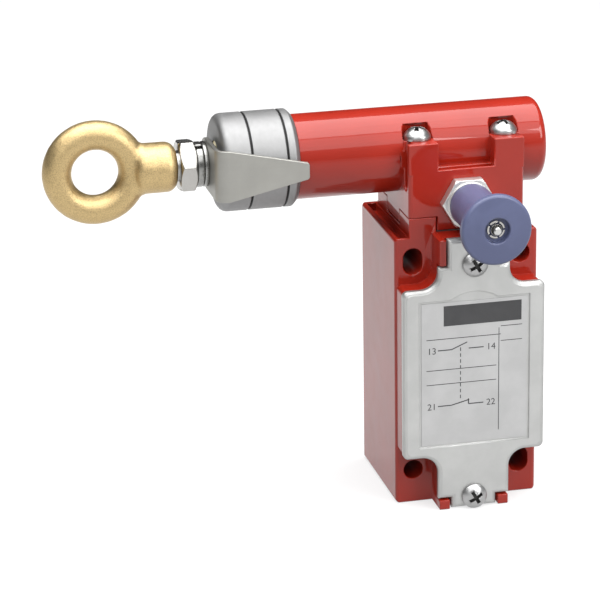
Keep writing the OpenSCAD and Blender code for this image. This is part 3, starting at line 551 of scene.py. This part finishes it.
@dataclass(frozen=True)
class PressedSpring:
    """A coil spring that a joint presses: the axis it is pressed along, the place of its fixed end and the travel.
    """

    node: str
    joint: str
    axis: int
    fixed: float
    travel: float

    @classmethod
    def listed(cls) -> tuple["PressedSpring", ...]:
        """The springs that the record's joints press.

        Returns:
            One spring for every deforming node of the record.
        """
        return tuple(
            cls(row["node"], joint["name"], "xyz".index(row["mode"][-1]), row[f"fixed_end_{row['mode'][-1]}_m"],
                max(abs(limit) for limit in joint["range_m"]))
            for joint in frame["record"]["behaviour"]["joints"] for row in joint.get("deforming_nodes", ()))

    def build(self) -> bpy.types.Object:
        """Stands for the spring's solid with an eased copy that has a mesh of its own.

        Returns:
            The piece.
        """
        piece = EasedCopy(self.node, "switch", Finishes.WIRE, 0.0).build()
        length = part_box(self.node)[1][self.axis] - self.fixed
        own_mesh(piece)
        return piece



# ---- Cast eye ----


def value_noise(points: Grid, size: float, seed: int) -> Grid:
    """Smooth random heights: lattice values blended by the cubic 3t^2 - 2t^3 along each axis.

    Args:
        points: Points with their three coordinates on the last axis.
        size: Distance between lattice points.
        seed: Seed of the lattice values.

    Returns:
        Heights from -1 to 1 with the points' shape.
    """
    table = np.random.default_rng(seed).uniform(-1.0, 1.0, (32, 32, 32))
    cell = np.floor(points / size).astype(int)
    part = points / size - cell
    part = part * part * (3.0 - 2.0 * part)
    total = np.zeros(points.shape[:-1])
    for corner in np.ndindex(2, 2, 2):
        at = (cell + corner) % 32
        share = np.prod(np.where(np.array(corner) == 1, part, 1.0 - part), axis=-1)
        total += share * table[at[..., 0], at[..., 1], at[..., 2]]
    return total


def smooth_least(first: Grid, second: Grid, width: float) -> Grid:
    """The lesser of two distances, with the seam filled by a fillet of about `width`."""
    blend = np.clip(0.5 + 0.5 * (second - first) / width, 0.0, 1.0)
    return second + (first - second) * blend - width * blend * (1.0 - blend)


def surface_net(field: Callable[[Grid], Grid], low: Sequence[float], high: Sequence[float],
                cell: float) -> tuple[Grid, Grid]:
    """The zero surface of a distance field as quads: one point per cell that the surface crosses,
    at the mean of the crossings on the cell's edges, and one quad per crossed grid edge.

    Args:
        field: Signed distance at points, below zero inside.
        low: Lowest corner of the sampled box.
        high: Highest corner of the sampled box.
        cell: Cell size.

    Returns:
        Points and quads, with the faces outward.
    """
    axes = [np.arange(a, b + cell, cell) for a, b in zip(low, high)]
    points = np.stack(np.meshgrid(*axes, indexing="ij"), axis=-1)
    value = field(points)
    cells = tuple(n - 1 for n in value.shape)
    total = np.zeros(cells + (3,))
    count = np.zeros(cells)
    crossed = []
    for axis in range(3):
        first = [slice(None)] * 3
        second = [slice(None)] * 3
        first[axis], second[axis] = slice(0, -1), slice(1, None)
        v0, v1 = value[tuple(first)], value[tuple(second)]
        cross = (v0 < 0) != (v1 < 0)
        part = np.where(cross, v0 / np.where(v0 == v1, 1.0, v0 - v1), 0.0)[..., None]
        place = points[tuple(first)] * (1.0 - part) + points[tuple(second)] * part
        crossed.append((cross, v0 < 0))
        others = [k for k in range(3) if k != axis]
        for offset in np.ndindex(2, 2):
            window = [slice(None)] * 3
            for k, o in zip(others, offset):
                window[k] = slice(o, o + cells[k])
            hit = cross[tuple(window)]
            total += np.where(hit[..., None], place[tuple(window)], 0.0)
            count += hit
    used = count > 0
    number = np.full(cells, -1)
    number[used] = np.arange(int(used.sum()))
    verts = total[used] / count[used][:, None]
    quads = []
    for axis in range(3):
        cross, inside = crossed[axis]
        at = np.argwhere(cross)
        ends_inside = inside[cross]
        one, two = [k for k in range(3) if k != axis]
        keep = np.all((at[:, [one, two]] > 0) & (at[:, [one, two]] < np.array(value.shape)[[one, two]] - 1), axis=1)
        at, ends_inside = at[keep], ends_inside[keep]
        ring = []
        for a, b in ((1, 1), (0, 1), (0, 0), (1, 0)):
            where = at.copy()
            where[:, one] -= a
            where[:, two] -= b
            ring.append(number[tuple(where.T)])
        quad = np.stack(ring, axis=1)
        outward = ends_inside if axis != 1 else ~ends_inside
        quads.append(np.where(outward[:, None], quad, quad[:, ::-1]))
    return verts, np.concatenate(quads)


def mesh_from(name: str, verts: Grid, faces: Grid) -> bpy.types.Mesh:
    """A smooth-shaded mesh from arrays of points and quads."""
    mesh = bpy.data.meshes.new(name)
    mesh.from_pydata(verts.tolist(), [], faces.tolist())
    mesh.polygons.foreach_set("use_smooth", np.ones(len(mesh.polygons), dtype=bool))
    mesh.update()
    return mesh


@dataclass
class CastEye:
    """The sand-cast eye: a ring that flows into its round shank, with a threaded hole in the end."""

    centre: tuple[float, float, float] = (-97.7 * MM, -20.0 * MM, 57.3 * MM)
    ring: float = 10.2 * MM
    section: float = 3.95 * MM
    shank: float = 6.8 * MM
    end_x: float = -75.9 * MM
    nose: float = 3.0 * MM
    hole: float = 4.05 * MM
    hole_depth: float = 9.0 * MM
    fillet: float = 1.5 * MM
    grain: float = 0.05 * MM
    grains: tuple[tuple[float, int, float], ...] = ((0.9 * MM, 5, 0.6), (0.5 * MM, 6, 0.4))
    inset: float = 1.2
    cell: float = 0.32 * MM
    room: tuple[float, float, float] = (15.2 * MM, 8.0 * MM, 15.2 * MM)
    end_room: float = 1.0 * MM

    def distance(self, points: Grid) -> Grid:
        """Signed distance: torus and round-nosed cylinder in a smooth union, less the hole, plus sand grain.

        Each row of `grains` gives a grain's size, its seed and its share. The inset is at least the deepest grain, so
        that the skin stays within the solid.
        """
        x, y, z = (points[..., k] - self.centre[k] for k in range(3))
        torus = np.hypot(np.hypot(x, z) - self.ring, y) - self.section
        round_r = np.hypot(y, z)
        end = self.end_x - self.centre[0]
        radial = round_r - (self.shank - self.nose)
        along = np.abs(x - (self.ring + end) / 2) - ((end - self.ring) / 2 - self.nose)
        outside = np.hypot(np.maximum(radial, 0.0), np.maximum(along, 0.0))
        shank = outside + np.minimum(np.maximum(radial, along), 0.0) - self.nose
        body = smooth_least(torus, shank, self.fillet)
        hole = np.maximum(round_r - self.hole, (end - self.hole_depth) - x)
        grain = sum(value_noise(points, size, seed) * share for size, seed, share in self.grains)
        return np.maximum(body, -hole) + self.grain * (self.inset + grain)

    def build(self) -> bpy.types.Object:
        """Meshes the eye and puts it in place of its solid.

        Returns:
            The piece.
        """
        low = [middle - room for middle, room in zip(self.centre, self.room)]
        high = [middle + room for middle, room in zip(self.centre, self.room)]
        high[0] = self.end_x + self.end_room
        verts, quads = surface_net(self.distance, low, high, self.cell)
        piece = add_piece("cast_eye", mesh_from("cast_eye", verts, quads), Finishes.BRONZE, "pull")
        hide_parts("rope_eye")
        return piece


# ---- Print on the plate ----


@dataclass
class PlatePrint:
    """Ink on the rating plate: a bare band, ruled lines and a plain contact diagram with numbers."""

    face_y: float = -43.7 * MM
    ink: float = 0.02 * MM
    size_for_height: float = 1.37

    def build(self) -> bpy.types.Object:
        """Draws every mark and joins them into one piece.

        Returns:
            The piece.
        """
        marks = [self.bar(*row) for row in self.bars()]
        marks += [self.stroke(*row) for row in self.strokes()]
        for text, x, z, height in self.numbers():
            marks.append(self.numeral(text, x, z, height))
        offset = np.cumsum([0] + [len(points) for points, _ in marks])
        points = np.concatenate([points for points, _ in marks])
        faces = [tuple(int(k + start) for k in face) for (_, rows), start in zip(marks, offset) for face in rows]
        mesh = bpy.data.meshes.new("plate_print")
        mesh.from_pydata(points.tolist(), [], faces)
        mesh.update()
        return add_piece("plate_print", mesh, Finishes.INK, "switch")

    def bars(self) -> list[tuple[float, float, float, float]]:
        """The filled rectangles, as x and z limits in mm."""
        rows = [(-8.6, 13.6, 13.2, 19.3)]
        rows += [(-13.4, 9.9, 7.4, 10.1), (6.8, -17.6, 7.0, 11.9), (7.4, 12.2, 13.4, 12.4), (7.4, 8.0, 13.4, 8.2)]
        rows += [(-13.4, 1.1, 6.2, 1.3), (-13.4, -3.0, 6.2, -2.8)]
        rows += [(-4.0, 7.9 - 1.7 * k, -3.75, 8.9 - 1.7 * k) for k in range(1, 10)]
        return rows

    def strokes(self) -> list[tuple[float, float, float, float, float]]:
        """The straight strokes of the diagram, as two ends and a width in mm."""
        rows = [(-10.2, 6.8, -6.4, 6.8, 0.3), (-1.6, 6.8, 2.6, 6.8, 0.3), (-6.4, 6.8, -2.0, 8.6, 0.3)]
        rows += [(-10.2, -9.2, -6.4, -9.2, 0.3), (-1.6, -9.2, 2.6, -9.2, 0.3), (-6.4, -9.2, -1.4, -8.0, 0.3),
                 (-1.6, -9.2, -1.6, -7.7, 0.3)]
        return rows

    def stroke(self, x0: float, z0: float, x1: float, z1: float, width: float) -> tuple[Grid, list[tuple[int, ...]]]:
        """A thin bar of ink from one point to another: the line moved half its width to either side."""
        ends = np.array([[x0, z0], [x1, z1]])
        way = ends[1] - ends[0]
        side = np.array([-way[1], way[0]]) / np.hypot(*way) * width / 2
        return self.raised(np.array([ends[0] - side, ends[1] - side, ends[1] + side, ends[0] + side]) * MM)

    def numbers(self) -> list[tuple[str, float, float, float]]:
        """The numbers, with their lower left corners and heights in mm."""
        return [("13", -13.2, 5.9, 1.9), ("14", 3.4, 5.9, 1.9), ("21", -13.2, -10.1, 1.9), ("22", 3.4, -10.1, 1.9)]

    def bar(self, x0: float, z0: float, x1: float, z1: float) -> tuple[Grid, list[tuple[int, ...]]]:
        """A thin block of ink between two corners in mm."""
        x = np.array([x0, x1, x1, x0]) * MM
        z = np.array([z0, z0, z1, z1]) * MM
        return self.raised(np.stack([x, z], axis=1))

    def raised(self, outline: Grid) -> tuple[Grid, list[tuple[int, ...]]]:
        """A flat outline in x and z raised by the ink's thickness."""
        n = len(outline)
        back = np.stack([outline[:, 0], np.full(n, self.face_y), outline[:, 1]], axis=1)
        front = back - np.array([0.0, self.ink, 0.0])
        sides = [(k, (k + 1) % n, n + (k + 1) % n, n + k) for k in range(n)]
        return np.concatenate([back, front]), [tuple(range(n))[::-1], tuple(range(n, 2 * n))] + sides

    def numeral(self, text: str, x: float, z: float, height: float) -> tuple[Grid, list[tuple[int, ...]]]:
        """A number as a thin mesh whose lower left corner is at x and z in mm."""
        curve = bpy.data.curves.new("number_" + text, "FONT")
        curve.body = text
        curve.size = height * self.size_for_height * MM
        curve.extrude = self.ink / 2
        holder = bpy.data.objects.new("number_" + text, curve)
        bpy.context.collection.objects.link(holder)
        bpy.context.view_layer.update()
        mesh = bpy.data.meshes.new_from_object(holder)
        flat = np.empty(len(mesh.vertices) * 3)
        mesh.vertices.foreach_get("co", flat)
        flat = flat.reshape(-1, 3)
        faces = [tuple(face.vertices) for face in mesh.polygons]
        bpy.data.objects.remove(holder)
        points = np.stack([flat[:, 0] + x * MM, self.face_y - self.ink / 2 - flat[:, 2], flat[:, 1] + z * MM], axis=1)
        return points, faces


# ---- Studio ----


Point = tuple[float, float, float]


@dataclass(frozen=True)
class Softbox:
    """One rectangular area lamp that points at its target."""

    name: str
    eye: Point
    target: Point
    size: tuple[float, float]
    power: float

    def build(self) -> None:
        """Makes the lamp and turns it to its target."""
        data = bpy.data.lights.new(self.name, "AREA")
        data.shape = "RECTANGLE"
        data.size, data.size_y = self.size
        data.energy = self.power
        lamp = bpy.data.objects.new(self.name, data)
        bpy.context.collection.objects.link(lamp)
        way = (Vector(self.target) - Vector(self.eye)).normalized()
        turned = way.to_track_quat("-Z", "Y").to_matrix().to_4x4()
        lamp.matrix_world = Matrix.Translation(Vector(self.eye)) @ turned


@dataclass(frozen=True)
class Card:
    """One flat grey card that metal reflects. No view shows it, and lamps shine through it."""

    name: str
    corners: tuple[Point, Point, Point, Point]
    shade: float

    def build(self) -> None:
        """Makes the card and hides it from the camera and from shadows."""
        mesh = bpy.data.meshes.new(self.name)
        mesh.from_pydata(self.corners, [], [(0, 1, 2, 3)])
        card = bpy.data.objects.new(self.name, mesh)
        bpy.context.collection.objects.link(card)
        material = bpy.data.materials.new(self.name)
        material.use_nodes = True
        graph = Graph(material.node_tree)
        cloth = graph.node("BsdfDiffuse", None, {"Color": (self.shade,) * 3})
        graph.node("OutputMaterial", None, {"Surface": cloth.outputs[0]})
        mesh.materials.append(material)
        card.visible_camera = False
        card.visible_shadow = False


SOFTBOXES: tuple[Softbox, ...] = (
    Softbox("overhead", (-0.05, 0.0, 0.80), (-0.05, 0.0, 0.0), (1.3, 0.84), 16.8),
    Softbox("fore", (-0.05, -0.74, 0.74), (-0.05, -0.02, 0.05), (1.3, 0.55), 5.4),
    Softbox("front_left", (-0.55, -0.95, 0.45), (-0.03, -0.03, 0.02), (0.45, 0.5), 1.0),
    Softbox("front_right", (0.36, -0.46, 0.32), (0.0, -0.03, 0.04), (0.3, 0.3), 2.2),
)

CARDS: tuple[Card, ...] = (
    Card("card_back", ((-1.2, 0.62, 0.03), (1.2, 0.62, 0.03), (1.2, 0.62, 1.10), (-1.2, 0.62, 1.10)), 0.03),
    Card("card_left", ((-0.95, -0.45, 0.0), (-0.95, 0.55, 0.0), (-0.95, 0.55, 0.42), (-0.95, -0.45, 0.42)), 0.05),
)


@dataclass
class Studio:
    """Floor, lamps, world and camera."""

    eye: Point = (-0.2122, -0.7556, 0.2734)
    target: Point = (-0.042561, -0.020, 0.016521)
    roll: float = -0.923
    lens: float = 175.3
    sensor: float = 36.0
    floor_z: float = -0.0396
    floor_half: float = 6.0
    floor_shade: float = 0.27
    floor_glow: float = 0.66
    surround: float = 0.33

    def build(self) -> None:
        """Sets everything up."""
        self.camera()
        self.floor()
        for item in SOFTBOXES + CARDS:
            item.build()
        self.world()
        bpy.context.scene.view_settings.view_transform = "Standard"

    def camera(self) -> None:
        """Places the camera on its eye point, looking at the target, with a slight roll."""
        data = bpy.data.cameras.new("view")
        data.lens = self.lens
        data.sensor_width = self.sensor
        camera = bpy.data.objects.new("view", data)
        bpy.context.collection.objects.link(camera)
        eye, target = Vector(self.eye), Vector(self.target)
        forward = (target - eye).normalized()
        right = forward.cross(Vector((0, 0, 1))).normalized()
        up = right.cross(forward)
        turn = math.radians(self.roll)
        across = right * math.cos(turn) + up * math.sin(turn)
        over = up * math.cos(turn) - right * math.sin(turn)
        frame_axes = Matrix((across, over, -forward)).transposed().to_4x4()
        camera.matrix_world = Matrix.Translation(eye) @ frame_axes
        data.clip_start, data.clip_end = 0.01, 100.0
        bpy.context.scene.camera = camera

    def floor(self) -> None:
        """A wide pale floor that shows white behind the object and keeps its shadow."""
        half, z = self.floor_half, self.floor_z
        mesh = bpy.data.meshes.new("floor")
        mesh.from_pydata([(-half, -half, z), (half, -half, z), (half, half, z), (-half, half, z)], [], [(0, 1, 2, 3)])
        floor = bpy.data.objects.new("floor", mesh)
        bpy.context.collection.objects.link(floor)
        material = bpy.data.materials.new("pale_floor")
        material.use_nodes = True
        graph = Graph(material.node_tree)
        path = graph.node("LightPath")
        seen = Value(graph, path.outputs["Is Camera Ray"]) + Value(graph, path.outputs["Is Glossy Ray"])
        seen = (seen + Value(graph, path.outputs["Is Transmission Ray"])).clamp()
        diffuse = graph.node("BsdfDiffuse", None, {"Color": (self.floor_shade,) * 3})
        glow = graph.node("Emission", None, {"Color": (1.0, 1.0, 1.0), "Strength": seen * self.floor_glow})
        both = graph.node("AddShader", None, {0: diffuse.outputs[0], 1: glow.outputs[0]})
        graph.node("OutputMaterial", None, {"Surface": both.outputs[0]})
        mesh.materials.append(material)

    def world(self) -> None:
        """An even, pale surround."""
        world = bpy.data.worlds.new("surround")
        world.use_nodes = True
        bpy.context.scene.world = world
        graph = Graph(world.node_tree)
        glow = graph.node("Background", None, {"Color": (1.0, 1.0, 1.0), "Strength": self.surround})
        graph.node("OutputWorld", None, {"Surface": glow.outputs[0]})


def main() -> None:
    """Builds the switch's looks in order and reports when the pieces are built."""
    logging.basicConfig(level=logging.INFO, format="%(name)s: %(message)s")
    dress_nodes()
    for eased in EASED:
        eased.build()
    for spring in PressedSpring.listed():
        spring.build()
    CastEye().build()
    PlatePrint().build()
    LOG.info("pieces built")
    Studio().build()


if __name__ == "__main__":
    main()
